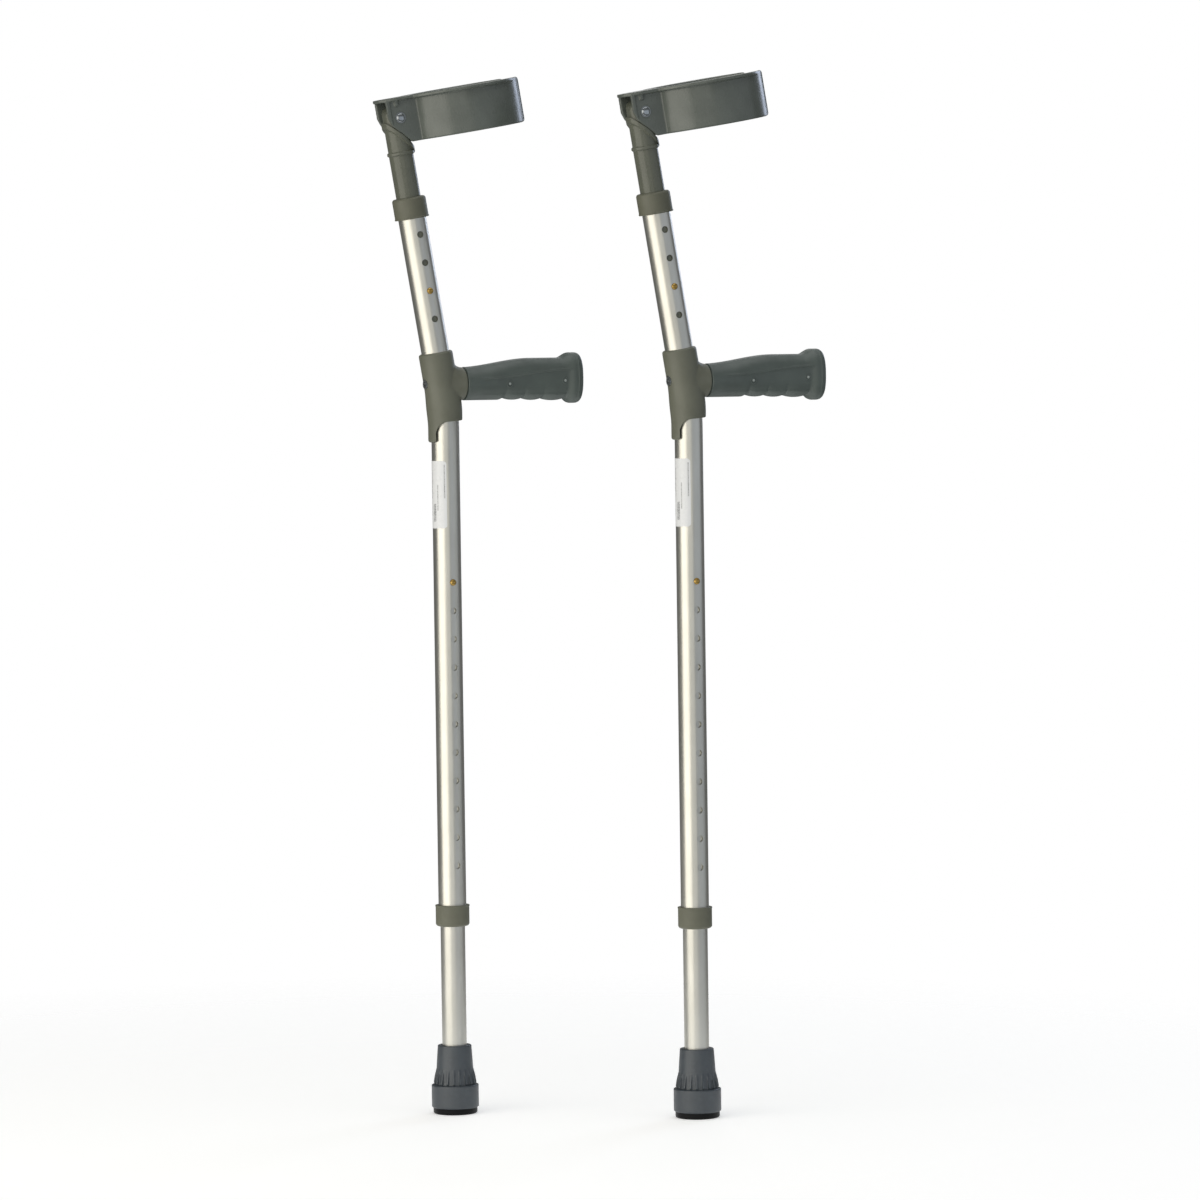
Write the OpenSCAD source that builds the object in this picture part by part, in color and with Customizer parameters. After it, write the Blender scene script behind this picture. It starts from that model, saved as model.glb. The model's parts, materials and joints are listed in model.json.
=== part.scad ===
// A pair of forearm crutches with snap-button height settings for the leg and for the cuff.
// Frame: the origin is the centre of the left crutch's sole, +X runs forward along the
// handle, +Z is up, and the buttons face -Y. Millimetres.

/* [Tubes] */
// Outside diameter of the main tube
main_od = 25; // [23:0.5:30]
// Wall of the main tube and the leg tube
tube_wall = 1.3; // [1:0.1:1.6]
// Radial clearance between a tube and what slides in it
slide_gap = 0.2; // [0.1:0.05:0.4]
// Height of the main tube's lower end
main_low_z = 172; // [150:1:200]
// Height of the corner of the main tube's bend
bend_z = 634; // [600:1:720]
// Backward lean of the upper tube, in degrees
bend_angle = 9.75; // [5:0.25:14]
// Radius of the main tube's bend
bend_r = 200; // [150:5:240]
// Length of the main tube above the corner of its bend
upper_len = 187.6; // [170:0.2:220]
// Length of the leg tube above its button
leg_above_button = 25; // [20:1:40]

/* [Setting holes] */
// Diameter of the setting holes
hole_d = 6; // [5:0.25:7]
// Spacing of the setting holes
hole_pitch = 25.4; // [20:0.2:26]
// Number of leg holes
leg_holes = 11; // [5:1:11]
// Height of the top leg hole, the one in use
leg_hole_z = 478; // [450:1:520]
// Number of cuff holes
cuff_holes = 4; // [2:1:4]
// Height of the lowest cuff hole above the corner of the bend
cuff_hole_u = 80.6; // [76:0.2:90]
// Cuff hole in use, counted up from 0
cuff_hole_used = 1; // [0:1:1]

/* [Snap buttons] */
// Diameter of a button
button_d = 5.7; // [4.6:0.1:5.8]
// How far a button stands out of the main tube
button_proud = 2; // [1:0.25:3]
// Radius of the flange that keeps a button in
button_flange_r = 3.8; // [3.6:0.1:4.2]
// Thickness of the button's flange
button_flange = 0.7; // [0.5:0.1:1]
// Thickness of the leaf springs
leaf = 0.8; // [0.5:0.1:1]
// Width of the leaf springs
leaf_w = 7; // [5:0.5:8]
// Length of a leaf spring below its button
leaf_len = 30; // [20:1:36]

/* [Ferrule] */
// Height of the ferrule
ferrule_h = 61.7; // [50:0.1:70]
// Radius of the ferrule's foot
foot_r = 21.2; // [18:0.2:25]
// Height of the foot
foot_h = 26.1; // [20:0.1:30]
// Radius at the bottom of the ferrule's cone
cone_low_r = 19; // [16:0.2:20]
// Radius at the top of the ferrule's cone
cone_top_r = 15; // [14:0.2:17]
// Height of the sole under the foot
sole_h = 5.6; // [4:0.2:8]
// Set-back of the sole from the foot
sole_step = 1.4; // [0.8:0.1:2]
// Height of the leg tube's end above the floor
leg_seat_z = 12; // [10:0.5:16]
// Thickness of the steel washer under the leg tube
washer_h = 2; // [1:0.5:3]
// Number of ribs around the cone
rib_count = 20; // [12:1:24]
// Height of the ribs
rib_h = 13; // [8:1:18]
// Width of a rib
rib_w = 1.8; // [1:0.1:2.4]

/* [Collars] */
// Height of a collar
collar_h = 19; // [15:0.5:24]
// Wall of a collar
collar_wall = 2.65; // [2:0.05:3.5]
// Thickness of the shoulder that the tube's end rests on
collar_shoulder = 3; // [2:0.5:4]
// Height of the lip at a collar's open end
collar_lip_h = 1; // [0.6:0.1:2]
// Gap around the tube that slides through a collar
collar_gap = 0.25; // [0.2:0.05:0.5]

/* [Handle] */
// Height of the handle's axis above the corner of the bend
handle_up = 21.4; // [18:0.2:26]
// Wall of the bracket around the main tube
bracket_wall = 3; // [2.5:0.1:4]
// Top of the bracket above the corner of the bend
bracket_up = 50.7; // [46:0.1:60]
// Bottom of the bracket below the corner of the bend
bracket_down = 12; // [8:0.5:18]
// Length of the bracket's tongue down the back of the tube
tongue_len = 19; // [12:0.5:24]
// Radius of the neck that carries the grip
neck_r = 14.9; // [13:0.1:15.5]
// Forward end of the neck
neck_x = 17.1; // [16.6:0.1:24]
// Radius of the spigot inside the grip
spigot_r = 9; // [8:0.2:10]
// Length of the spigot
spigot_len = 104; // [90:1:110]
// Length of the grip
grip_len = 113.5; // [100:0.5:125]
// Rise of the palm swell above the neck's top
palm_rise = 8; // [5:0.5:10]
// Depth of the finger grooves under the grip
finger_groove = 2.6; // [0:0.2:4]
// Half width of the grip's end flange
flange_half_w = 16.5; // [15:0.25:19]
// Radius of the handle screw
screw_r = 3; // [2.5:0.25:3.5]
// Radius of the handle screw's head
screw_head_r = 4.3; // [4:0.1:5]
// Height of the handle screw's head
screw_head_h = 2.2; // [1.6:0.1:3]

/* [Label] */
// Lower edge of the label
label_z = 526.4; // [500:0.2:560]
// Height of the label
label_h = 60.3; // [40:0.1:70]
// Share of the tube that the label wraps, in degrees
label_wrap = 120; // [60:5:180]

/* [Cuff stem] */
// Length of the stem below its button
stem_below = 44; // [35:1:46]
// Radius of the stem's bore
stem_bore_r = 8; // [7:0.1:8.5]
// Height of the stop ring above the corner of the bend
stop_u = 230.3; // [215:0.1:236]
// Height of the cuff's pivot above the corner of the bend
pivot_u = 261.7; // [255:0.1:280]
// Half width of the post between the cuff's cheeks
post_half_w = 10.3; // [9:0.1:10.6]

/* [Cuff] */
// Wall of the cuff's band
band_wall = 3; // [2:0.1:4]
// Height of the band's top above the pivot
band_up = 18.3; // [17:0.1:24]
// Depth of the band's bottom below the pivot
band_down = 22.7; // [20:0.1:26]
// Distance from the stem's axis to the back of the forearm space
cuff_back = 17; // [15:0.5:22]
// Depth of the cuff's open ring, front to back, as a half axis
ring_a = 50.5; // [45:0.1:62]
// Half width of the cuff's open ring
ring_b = 44.5; // [38:0.5:52]
// Half angle of the ring's opening, in degrees
opening_angle = 24; // [15:1:60]
// Width of the lip along the band's top
lip_w = 4.3; // [3:0.1:6]
// Thickness of the lip
lip_h = 3; // [2:0.1:4]
// Radius of the flare at the band's tips
flare_r = 5; // [4:0.25:7]
// Thickness of the cheeks beside the post
cheek = 2.5; // [2:0.1:3.5]
// Gap between a cheek and the post
cheek_gap = 0.2; // [0.1:0.05:0.4]
// Radius of the roof over the post
roof_r = 16.8; // [15:0.1:18]
// Upward tilt that the cuff's shape allows, in degrees
tilt = 25; // [10:1:30]
// Radius of the pivot rivet
rivet_r = 3; // [2.5:0.25:3.5]
// Radius of the rivet's heads
rivet_head_r = 3.9; // [3.6:0.1:5]

/* [Pair] */
// Place of the right crutch, forward of the left one
pair_x = 176; // [100:1:250]
// Distance of the right crutch to the side of the left one
pair_y = 136; // [110:1:250]

/* [Hidden] */
$fn = 64;
SIDES = ["left", "right"];
PARTS = ["ferrule", "ferrule_washer", "leg_tube", "leg_button", "leg_spring_clip", "lower_collar",
    "main_tube", "label", "handle_bracket", "handle_screw", "handle_nut", "grip", "upper_collar",
    "cuff_stem", "cuff_button", "cuff_spring_clip", "cuff", "cuff_rivet", "rivet_washers"];

BIG = 100;
seat_gap = 0.05;
contact_gap = 0.3;
main_r = main_od / 2;
main_bore_r = main_r - tube_wall;
inner_r = main_bore_r - slide_gap;
leg_bore_r = inner_r - tube_wall;
bend_turn = bend_r * tan(bend_angle / 2);
bend_draw = 0.05;
bend_lap = 0.5;
leg_top_z = leg_hole_z + leg_above_button;
button_u = cuff_hole_u + cuff_hole_used * hole_pitch;
stem_low_u = button_u - stem_below;
sleeve_r = main_r + bracket_wall;
handle_z = bend_z + handle_up;
handle_back_x = -handle_up * tan(bend_angle) - main_r / cos(bend_angle);
grip_x = neck_x + 0.5;
nut_x = grip_x + 9;
nut_h = 5;
nut_r = 5.75;
cheek_in = post_half_w + cheek_gap;
cheek_out = cheek_in + cheek;
ledge_r = 10.6;
cheek_stop_r = ledge_r - contact_gap;
ledge_t = 3.5;
roof_z = band_up - lip_h;
ring_x = cuff_back + ring_a;
washer_t = 0.6;

// Moves children to the right crutch's place, or leaves them at the left one's.
module beside(side) {
    translate(side == "right" ? [pair_x, -pair_y, 0] : [0, 0, 0]) children();
}

// The upper tube's frame: its origin is the corner of the bend and +Z runs up the tube.
module upper() {
    translate([0, 0, bend_z]) rotate([0, -bend_angle, 0]) children();
}

// The cuff's frame: its origin is the pivot and +Z runs up the stem.
module at_pivot() {
    upper() translate([0, 0, pivot_u]) children();
}

module pipe(r, bore, h) {
    difference() {
        cylinder(r = r, h = h);
        translate([0, 0, -1]) cylinder(r = bore, h = h + 2);
    }
}

// A pipe that follows the main tube's bend. Its walls draw in a little round the bend, which
// laps into the straight lengths.
module bent_pipe(r, bore, low_z, high_u) {
    lap_angle = bend_lap / bend_r * 180 / PI;
    translate([0, 0, low_z]) pipe(r, bore, bend_z - bend_turn - low_z);
    translate([-bend_r, 0, bend_z - bend_turn]) rotate([90, 0, 0]) rotate([0, 0, -lap_angle])
        rotate_extrude(angle = bend_angle + 2 * lap_angle) translate([bend_r, 0]) difference() {
            circle(r = r - bend_draw);
            circle(r = bore + bend_draw);
        }
    upper() translate([0, 0, bend_turn]) pipe(r, bore, high_u - bend_turn);
}

// A hole from the axis out to the -Y side.
module side_hole(r) {
    rotate([90, 0, 0]) cylinder(r = r, h = BIG / 2);
}

// ---- Leg ----

module ferrule() {
    sole_r = foot_r - sole_step;
    color("#4d5558") difference() {
        union() {
            rotate_extrude() polygon([[0, 0], [sole_r - 1.5, 0], [sole_r, 1.5], [sole_r, sole_h],
                [foot_r - 0.6, sole_h], [foot_r, sole_h + 0.6], [foot_r, foot_h - 1.5],
                [cone_low_r, foot_h + 2.3], [cone_top_r, ferrule_h - 0.5],
                [cone_top_r - 0.5, ferrule_h], [0, ferrule_h]]);
            for (i = [0 : rib_count - 1]) rotate([0, 0, i * 360 / rib_count]) rib();
        }
        translate([0, 0, leg_seat_z - washer_h]) cylinder(r = inner_r + seat_gap, h = ferrule_h);
        for (r = [8, 13]) translate([0, 0, -1]) difference() {
            cylinder(r = r + 1.6, h = 2.2);
            translate([0, 0, -1]) cylinder(r = r, h = 5);
        }
    }
}

// One buttress between the ferrule's foot and its cone.
module rib() {
    low = foot_h + 0.3;
    root_r = cone_top_r - 1;
    rotate([90, 0, 0]) translate([0, 0, -rib_w / 2]) linear_extrude(height = rib_w)
        polygon([[root_r, low - 2], [foot_r - 1.2, low - 2], [foot_r - 1.2, low + 1],
            [cone_low_r - 0.6, low + rib_h], [root_r, low + rib_h]]);
}

module ferrule_washer() {
    color("silver") translate([0, 0, leg_seat_z - washer_h])
        cylinder(r = inner_r - seat_gap, h = washer_h);
}

module leg_tube() {
    color("#c4c4bc") difference() {
        translate([0, 0, leg_seat_z]) cylinder(r = inner_r, h = leg_top_z - leg_seat_z);
        translate([0, 0, leg_seat_z - 1]) cylinder(r = leg_bore_r, h = leg_top_z);
        translate([0, 0, leg_hole_z]) side_hole(hole_d / 2);
    }
}

// Distance from a bore's axis to the outer face of a button's flange, on the -Y side.
function flange_y(bore_r) = sqrt(pow(bore_r, 2) - pow(button_flange_r, 2)) - seat_gap;

// A domed button seated in a tube of the given bore, along -Y from the origin.
module button(bore_r) {
    face = flange_y(bore_r);
    tip = main_r + button_proud;
    dome = button_d / 2;
    dome_h = 1.6;
    cap_r = (pow(dome, 2) + pow(dome_h, 2)) / (2 * dome_h);
    color("#b8974f") rotate([90, 0, 0]) rotate_extrude() {
        translate([0, face - button_flange]) square([button_flange_r, button_flange]);
        translate([0, face - button_flange]) square([dome, tip - dome_h - face + button_flange]);
        intersection() {
            translate([0, tip - cap_r]) circle(r = cap_r);
            translate([0, tip - dome_h - 0.2]) square([dome, dome_h + 1]);
        }
    }
}

// A leaf spring bent into a U, with one leaf under the button and one on the far wall.
module spring_clip(bore_r) {
    near = flange_y(bore_r) - button_flange;
    far = sqrt(pow(bore_r, 2) - pow(leaf_w / 2, 2)) - seat_gap;
    turn_r = (near + far) / 2;
    turn_y = (far - near) / 2;
    color("#8f9296") rotate([90, 0, 90]) translate([0, 0, -leaf_w / 2])
        linear_extrude(height = leaf_w) polygon(concat(
            [[-near, button_flange_r + 2]], u_turn(turn_y, turn_r, 180), [[far, -6], [far - leaf, -6]],
            u_turn(turn_y, turn_r - leaf, 0), [[-near + leaf, button_flange_r + 2]]));
}

// Half a turn at the foot of a leaf spring, round [turn_y, -leaf_len], from angle 180 or back to it.
function u_turn(turn_y, r, from) = [for (i = [0 : 12])
    let (a = from == 180 ? 180 + 15 * i : 360 - 15 * i) [turn_y + r * cos(a), -leaf_len + r * sin(a)]];

module leg_button() {
    translate([0, 0, leg_hole_z]) button(leg_bore_r);
}

module leg_spring_clip() {
    translate([0, 0, leg_hole_z]) spring_clip(leg_bore_r);
}

// ---- Main tube ----

module main_tube() {
    color("#c9c9c1") difference() {
        bent_pipe(main_r, main_bore_r, main_low_z, upper_len);
        for (i = [0 : leg_holes - 1]) translate([0, 0, leg_hole_z - i * hole_pitch])
            side_hole(hole_d / 2);
        for (i = [0 : cuff_holes - 1]) upper() translate([0, 0, cuff_hole_u + i * hole_pitch])
            side_hole(hole_d / 2);
        translate([-BIG / 2, 0, handle_z]) rotate([0, 90, 0]) cylinder(r = screw_r + 0.2, h = BIG);
    }
}

// A moulded collar that holds the main tube's end above a shoulder, with its base at the origin.
module collar() {
    outer = main_r + collar_wall;
    color("#6f7060") rotate_extrude() difference() {
        union() {
            translate([0, 2.4]) square([outer, collar_h - 2.4]);
            square([outer - 2.4, collar_h]);
            translate([outer - 2.4, 2.4]) circle(r = 2.4);
            translate([0, collar_h - collar_lip_h]) square([outer + 0.3, collar_lip_h]);
        }
        translate([-BIG, -BIG / 2]) square([BIG + inner_r + collar_gap, BIG]);
        translate([-BIG, collar_shoulder]) square([BIG + main_r + seat_gap, BIG]);
    }
}

module lower_collar() {
    translate([0, 0, main_low_z - collar_shoulder]) collar();
}

module upper_collar() {
    upper() translate([0, 0, upper_len + collar_shoulder]) rotate([180, 0, 0]) collar();
}

module label() {
    color("#f2f1ea") translate([0, 0, label_z]) rotate([0, 0, 189 - label_wrap / 2])
        rotate_extrude(angle = label_wrap)
            translate([main_r + 0.02, 0]) square([0.15, label_h]);
}

// ---- Handle ----

module along_handle() {
    translate([0, 0, handle_z]) rotate([0, 90, 0]) children();
}

module handle_bracket() {
    low_z = bend_z - bracket_down;
    arc_r = 12;
    edge_x = -sleeve_r * sin(61);
    color("#73766a") difference() {
        union() {
            bent_pipe(sleeve_r, main_r + seat_gap, low_z - tongue_len, bracket_up);
            difference() {
                union() {
                    along_handle() cylinder(r = neck_r, h = neck_x);
                    along_handle() cylinder(r = spigot_r, h = neck_x + spigot_len);
                }
                // The neck starts inside the sleeve's wall.
                upper() translate([0, 0, -bend_turn]) cylinder(r = main_r + 1, h = bracket_up + 2 * bend_turn);
            }
        }
        // The front is cut away in an arc, which leaves the tongue down the back.
        translate([0, BIG / 2, 0]) rotate([90, 0, 0]) linear_extrude(height = BIG) {
            translate([edge_x + arc_r, low_z - BIG]) square([BIG, BIG]);
            translate([edge_x + arc_r, low_z - arc_r]) circle(r = arc_r);
            translate([edge_x, low_z - arc_r - BIG]) square([BIG, BIG]);
        }
        along_handle() cylinder(r = screw_r + 0.2, h = nut_x + nut_h + 8);
        along_handle() mirror([0, 0, 1]) cylinder(r = screw_head_r + 0.3, h = BIG / 2);
        along_handle() translate([0, 0, nut_x - 0.1])
            cylinder(r = nut_r + 0.1, h = nut_h + 0.2, $fn = 6);
        translate([nut_x - 0.1, -4.2, handle_z - BIG / 4]) cube([nut_h + 0.2, 8.4, BIG / 4]);
    }
}

module handle_screw() {
    head_x = handle_back_x - screw_head_r * tan(bend_angle) - seat_gap;
    color("silver") along_handle() difference() {
        union() {
            translate([0, 0, head_x - screw_head_h]) cylinder(r = screw_head_r, h = screw_head_h);
            translate([0, 0, head_x]) cylinder(r = screw_r, h = nut_x + nut_h + 3 - head_x);
        }
        translate([0, 0, head_x - screw_head_h - 1]) cylinder(r = 2.3, h = screw_head_h, $fn = 6);
    }
}

module handle_nut() {
    color("silver") along_handle() translate([0, 0, nut_x]) difference() {
        cylinder(r = nut_r, h = nut_h, $fn = 6);
        translate([0, 0, -1]) cylinder(r = screw_r + seat_gap, h = nut_h + 2);
    }
}

// Smooth step from 0 to 1 as x goes from a to b.
function ease(x, a, b) = let (t = min(1, max(0, (x - a) / (b - a)))) t * t * (3 - 2 * t);
// A rounded bump of height 1 at c, w wide.
function bump(x, c, w) = abs(x - c) < w / 2 ? pow(cos(180 * (x - c) / w), 2) : 0;

// The grip's outline at a distance x from its start: top, bottom and half width.
function grip_top(x) = neck_r + palm_rise * ease(x, 0, 50) + 3.5 * ease(x, 0.86 * grip_len, grip_len);
function grip_bottom(x) = -neck_r + 1.8 * ease(x, 30, 50)
    + finger_groove * (bump(x, 0.345 * grip_len, 13) + bump(x, 0.49 * grip_len, 15)
        + bump(x, 0.67 * grip_len, 17) + bump(x, 0.86 * grip_len, 15))
    - 2.6 * ease(x, 0.93 * grip_len, grip_len);
function grip_half_w(x) = neck_r - 0.4 + 0.8 * bump(x, 0.5 * grip_len, 90)
    + (flange_half_w - neck_r) * ease(x, 0.86 * grip_len, grip_len);

// One ring of the grip at x, shrunk by inset where the end is rounded.
function grip_ring(x, inset) = [for (a = [0 : 15 : 345])
    let (mid = (grip_top(x) + grip_bottom(x)) / 2, half = (grip_top(x) - grip_bottom(x)) / 2 - inset,
        wide = grip_half_w(x) - inset, power = 0.86,
        c = sign(cos(a)) * pow(abs(cos(a)), power), s = sign(sin(a)) * pow(abs(sin(a)), power))
    [x + grip_x, wide * c, handle_z + mid + half * s]];

// A closed solid through rings that have the same number of points.
module loft(rings) {
    n = len(rings[0]);
    last = len(rings) - 1;
    polyhedron(points = [for (ring = rings) for (p = ring) p],
        faces = concat([[for (i = [0 : n - 1]) i]],
            [for (k = [0 : last - 1]) for (i = [0 : n - 1])
                [k * n + i, (k + 1) * n + i, (k + 1) * n + (i + 1) % n, k * n + (i + 1) % n]],
            [[for (i = [n - 1 : -1 : 0]) last * n + i]]));
}

module grip() {
    steps = 34;
    end_round = 3;
    straight = grip_len - end_round;
    rings = concat([for (k = [0 : steps]) grip_ring(k * straight / steps, 0)],
        [for (a = [30 : 30 : 90]) grip_ring(straight + end_round * sin(a), end_round * (1 - cos(a)))]);
    color("#5a6362") difference() {
        loft(rings);
        along_handle() translate([0, 0, grip_x - 1])
            cylinder(r = spigot_r + seat_gap, h = neck_x + spigot_len - grip_x + 1 + contact_gap);
    }
}

// ---- Cuff stem ----

module cuff_stem() {
    color("#6f7268") difference() {
        union() {
            upper() translate([0, 0, stem_low_u]) cylinder(r = inner_r, h = stop_u - stem_low_u);
            upper() translate([0, 0, stop_u - 1.25]) cylinder(r = inner_r + 1.2, h = 2.5);
            at_pivot() intersection() {
                translate([0, 0, stop_u - pivot_u]) cylinder(r = inner_r, h = BIG);
                below_ledge();
            }
            at_pivot() intersection() {
                translate([-inner_r, -cheek_out, stop_u - pivot_u]) cube([2 * inner_r, 2 * cheek_out, BIG]);
                below_ledge(ledge_t);
            }
            at_pivot() intersection() {
                translate([0, 0, stop_u - pivot_u]) cylinder(r = inner_r, h = BIG);
                translate([-BIG / 2, -post_half_w, -BIG / 2]) cube([BIG, 2 * post_half_w, BIG]);
                union() {
                    rotate([90, 0, 0]) cylinder(r = inner_r, h = BIG, center = true);
                    translate([-BIG / 2, -BIG / 2, -BIG]) cube([BIG, BIG, BIG]);
                }
            }
        }
        upper() translate([0, 0, stem_low_u - 1]) cylinder(r = stem_bore_r, h = stop_u - stem_low_u - 6);
        upper() translate([0, 0, button_u]) side_hole(hole_d / 2);
        at_pivot() rotate([90, 0, 0]) cylinder(r = rivet_r + seat_gap, h = BIG, center = true);
    }
}

// Everything below the sloping face that stops the cuff's cheeks, down to depth.
module below_ledge(depth = BIG) {
    rotate([0, 45, 0]) translate([-BIG, -BIG / 2, -ledge_r - depth]) cube([2 * BIG, BIG, depth]);
}

module cuff_button() {
    upper() translate([0, 0, button_u]) button(stem_bore_r);
}

module cuff_spring_clip() {
    upper() translate([0, 0, button_u]) spring_clip(stem_bore_r);
}

// ---- Cuff ----

// A point of the cuff's ring at angle a, moved outward by off.
function ring_point(a, off) =
    let (n = [cos(a) / ring_a, sin(a) / ring_b]) [ring_x + ring_a * cos(a), ring_b * sin(a)] + off * n / norm(n);
// A point of the flare that turns the tip outward, f degrees round it.
function flare_point(f, off) =
    let (a = opening_angle, n0 = [cos(a) / ring_a, sin(a) / ring_b], n = n0 / norm(n0), t = [n[1], -n[0]])
    ring_point(a, flare_r) + (flare_r - off) * (t * sin(f) - n * cos(f));
// One half of the band's edge, from the back to the tip, where off may depend on the place.
function half_edge(off, lip) = concat(
    [for (a = [180 : -4 : opening_angle + 2]) ring_point(a, off + lip * ease(a, opening_angle, opening_angle + 50))],
    [for (f = [0 : 14 : 70]) flare_point(f, off)]);
function mirrored(points) = [for (i = [len(points) - 1 : -1 : 1]) [points[i][0], -points[i][1]]];
function edge(off, lip) = concat(mirrored(half_edge(off, lip)), half_edge(off, lip));
function reversed(points) = [for (i = [len(points) - 1 : -1 : 0]) points[i]];

// The band in plan, widened outward by lip.
module band_plan(lip) {
    polygon(concat(edge(band_wall / 2, lip), reversed(edge(-band_wall / 2, 0))));
}

// A cheek seen from the side. Its lower back corner is cut so that the cuff can tilt up.
module cheek_side() {
    back_x = -inner_r - 0.5;
    low_x = band_down - cheek_stop_r * sqrt(2);
    lean = 225 - tilt;
    polygon(concat([[back_x, roof_z + 1], [back_x, (cheek_stop_r + back_x * -cos(lean)) / sin(lean)]],
        [for (a = [lean : 5 : 225]) cheek_stop_r * [cos(a), sin(a)]],
        [[low_x, -band_down], [cuff_back + 3, -band_down], [cuff_back + 3, roof_z + 1]]));
}

module cuff() {
    color("#7a7f76") at_pivot() difference() {
        union() {
            translate([0, 0, -band_down]) linear_extrude(height = band_down + band_up) band_plan(0);
            translate([0, 0, roof_z]) linear_extrude(height = lip_h) {
                band_plan(lip_w);
                circle(r = roof_r);
                translate([0, -roof_r]) square([cuff_back + 1, 2 * roof_r]);
            }
            for (side = [cheek_in, -cheek_out]) translate([0, side + cheek, 0]) rotate([90, 0, 0])
                linear_extrude(height = cheek) cheek_side();
        }
        rotate([90, 0, 0]) cylinder(r = rivet_r + seat_gap, h = BIG, center = true);
    }
}

module cuff_rivet() {
    half = cheek_out + washer_t;
    color("#c8ccd0") at_pivot() rotate([90, 0, 0]) {
        translate([0, 0, -half]) cylinder(r = rivet_r, h = 2 * half);
        for (flip = [0, 1]) mirror([0, 0, flip]) translate([0, 0, half]) {
            cylinder(r = rivet_head_r, h = 0.6);
            translate([0, 0, 0.6]) cylinder(r1 = rivet_head_r, r2 = rivet_head_r - 1.2, h = 0.8);
        }
    }
}

module rivet_washers() {
    color("#9aa0a4") at_pivot() for (flip = [0, 1]) rotate([90, 0, 0]) mirror([0, 0, flip])
        translate([0, 0, cheek_out]) difference() {
            cylinder(r = rivet_head_r + 1, h = washer_t);
            translate([0, 0, -1]) cylinder(r = rivet_r + seat_gap, h = 3);
        }
}

for (side = SIDES) beside(side) {
    ferrule();
    ferrule_washer();
    leg_tube();
    leg_button();
    leg_spring_clip();
    lower_collar();
    main_tube();
    label();
    handle_bracket();
    handle_screw();
    handle_nut();
    grip();
    upper_collar();
    cuff_stem();
    cuff_button();
    cuff_spring_clip();
    cuff();
    cuff_rivet();
    rivet_washers();
}
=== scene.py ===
import json
import math

import bmesh
import bpy
from mathutils import Matrix, Vector


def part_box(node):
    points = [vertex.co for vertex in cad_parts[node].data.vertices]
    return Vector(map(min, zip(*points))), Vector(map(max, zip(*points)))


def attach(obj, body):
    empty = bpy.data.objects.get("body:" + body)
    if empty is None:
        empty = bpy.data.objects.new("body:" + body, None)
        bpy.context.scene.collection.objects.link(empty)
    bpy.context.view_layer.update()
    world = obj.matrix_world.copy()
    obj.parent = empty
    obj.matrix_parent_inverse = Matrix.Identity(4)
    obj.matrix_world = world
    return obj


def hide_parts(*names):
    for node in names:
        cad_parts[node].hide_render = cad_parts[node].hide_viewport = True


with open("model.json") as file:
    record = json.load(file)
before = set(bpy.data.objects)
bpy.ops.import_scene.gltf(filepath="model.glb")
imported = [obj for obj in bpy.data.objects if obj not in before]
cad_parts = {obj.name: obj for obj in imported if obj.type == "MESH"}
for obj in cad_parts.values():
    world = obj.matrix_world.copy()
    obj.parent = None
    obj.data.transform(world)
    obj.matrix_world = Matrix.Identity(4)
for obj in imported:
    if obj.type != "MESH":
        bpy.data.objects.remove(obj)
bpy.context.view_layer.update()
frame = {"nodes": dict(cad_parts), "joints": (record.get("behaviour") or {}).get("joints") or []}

MM = 0.001
SIDES = ("left", "right")

# Heights above the corner of the tube's bend, in millimetres
HANDLE_U = 21.4
BUTTON_U = 106.0
TUBE_TOP_U = 187.6
STOP_U = 230.3

# Sizes that several pieces share, in millimetres
TUBE_WALL = 1.3
COLLAR_FLOOR = 3
STEM_BORE_R = 8.0
RIVET_R = 3.0
SPIGOT_R = 9
SPIGOT_LENGTH = 104
joints = {joint["name"]: joint for joint in frame["joints"]}

# ---- Places, all taken from the frame ----

PIVOT = Vector(joints["left_cuff_tilt"]["pos_m"]) / MM
UP = Vector(joints["left_cuff_height"]["axis"])
LEAN = math.atan2(-UP.x, UP.z)
PIVOT_U = PIVOT.x / UP.x
BEND_Z = PIVOT.z - UP.z * PIVOT_U
OFFSET = {side: (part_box(side + "_ferrule")[0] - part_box("left_ferrule")[0]) for side in SIDES}


def size_mm(node):
    """A CAD node's lowest and highest corners, in millimetres."""
    low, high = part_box(node)
    return low / MM, high / MM


TUBE_R = size_mm("left_main_tube")[1].y
STEM_R = size_mm("left_leg_tube")[1].y
FERRULE_H = size_mm("left_ferrule")[1].z
GRIP_LOW, GRIP_HIGH = size_mm("left_grip")
HANDLE_Z = BEND_Z + HANDLE_U
LEG_HOLE_Z = sum(c.z for c in size_mm("left_leg_button")) / 2
BUTTON_TIP = -size_mm("left_leg_button")[0].y
LABEL_LOW, LABEL_HIGH = size_mm("left_label")
COLLAR_LOW, COLLAR_HIGH = size_mm("left_lower_collar")

HERE = Matrix.Identity(4)
UPPER = Matrix.Translation((0, 0, BEND_Z)) @ Matrix.Rotation(-LEAN, 4, "Y")
AT_PIVOT = UPPER @ Matrix.Translation((0, 0, PIVOT_U))
ALONG_HANDLE = Matrix.Translation((0, 0, HANDLE_Z)) @ Matrix.Rotation(math.pi / 2, 4, "Y")
FACING_OUT = Matrix.Rotation(math.pi / 2, 4, "X")
PIVOT_SIDE = AT_PIVOT @ FACING_OUT

# ---- Mesh tools, which take millimetres ----


def ease(x, a, b):
    """A smooth step from 0 at a to 1 at b."""
    t = min(1.0, max(0.0, (x - a) / (b - a)))
    return t * t * (3 - 2 * t)


def hump(x, centre, width):
    """A rounded rise of height 1 at centre, width wide."""
    return math.cos(math.pi * (x - centre) / width) ** 2 if abs(x - centre) < width / 2 else 0.0


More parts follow.
